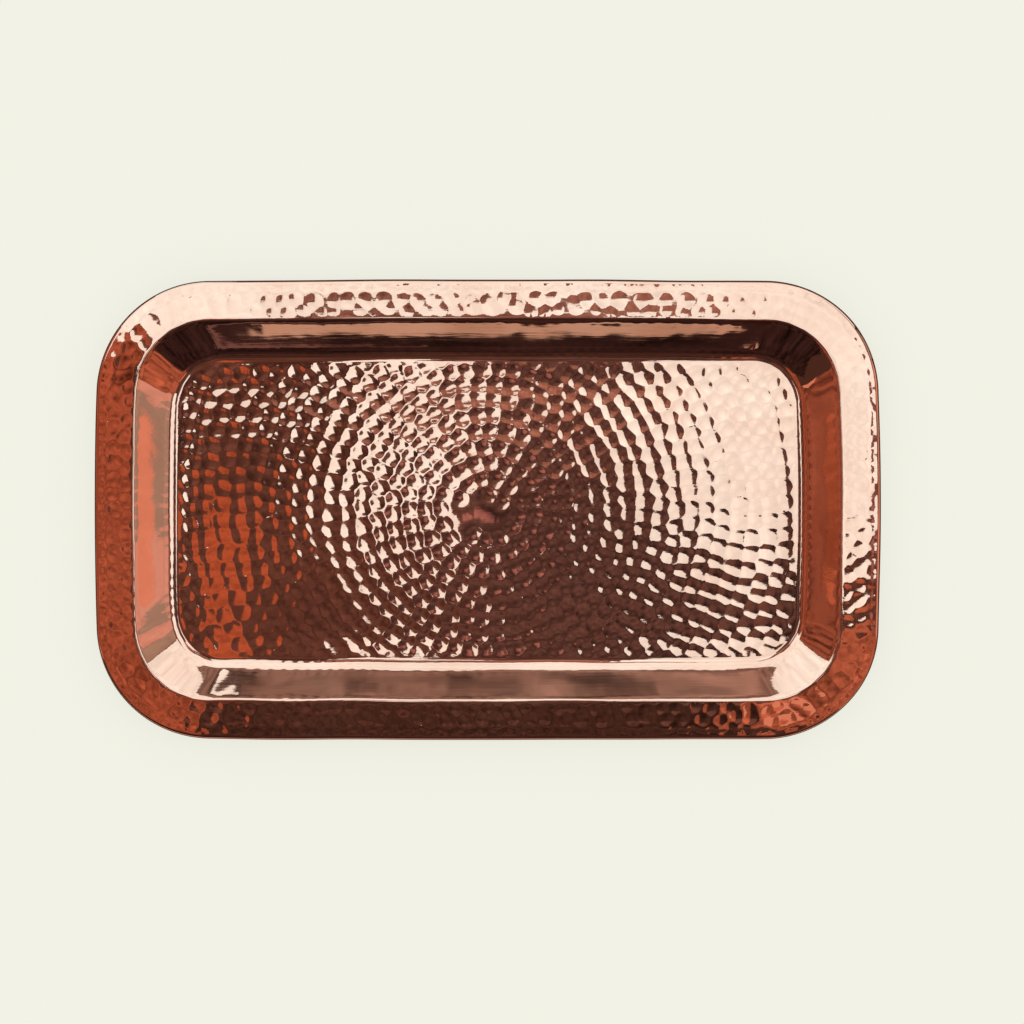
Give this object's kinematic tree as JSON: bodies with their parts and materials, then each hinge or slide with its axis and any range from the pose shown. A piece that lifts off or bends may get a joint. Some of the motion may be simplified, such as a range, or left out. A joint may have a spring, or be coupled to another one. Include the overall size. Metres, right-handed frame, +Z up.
{
  "type": "hammered copper tray",
  "caption": "Hand-hammered copper serving tray: a rounded rectangle with a flat dented base, sloping smooth walls and a broad dented rim, its edge rolled over a wire.",
  "frame": {"origin": "under the middle of the base, on the surface that the tray stands on", "axes": "+Z up, out of the tray's open side; +X along the tray's length; +Y along its width, towards the back long side, where the edge wire's ends meet"},
  "size_m": [0.432, 0.253, 0.0179],
  "materials": {
    "hammered_copper": "polished copper, hammered on the base and rim, with darker red-brown reflections",
    "wire_steel": "plain drawn wire, hidden in the rolled edge"
  },
  "bodies": {
    "root": {"tray_sheet": "hammered_copper", "edge_wire": "wire_steel"}
  },
  "joints": []
}
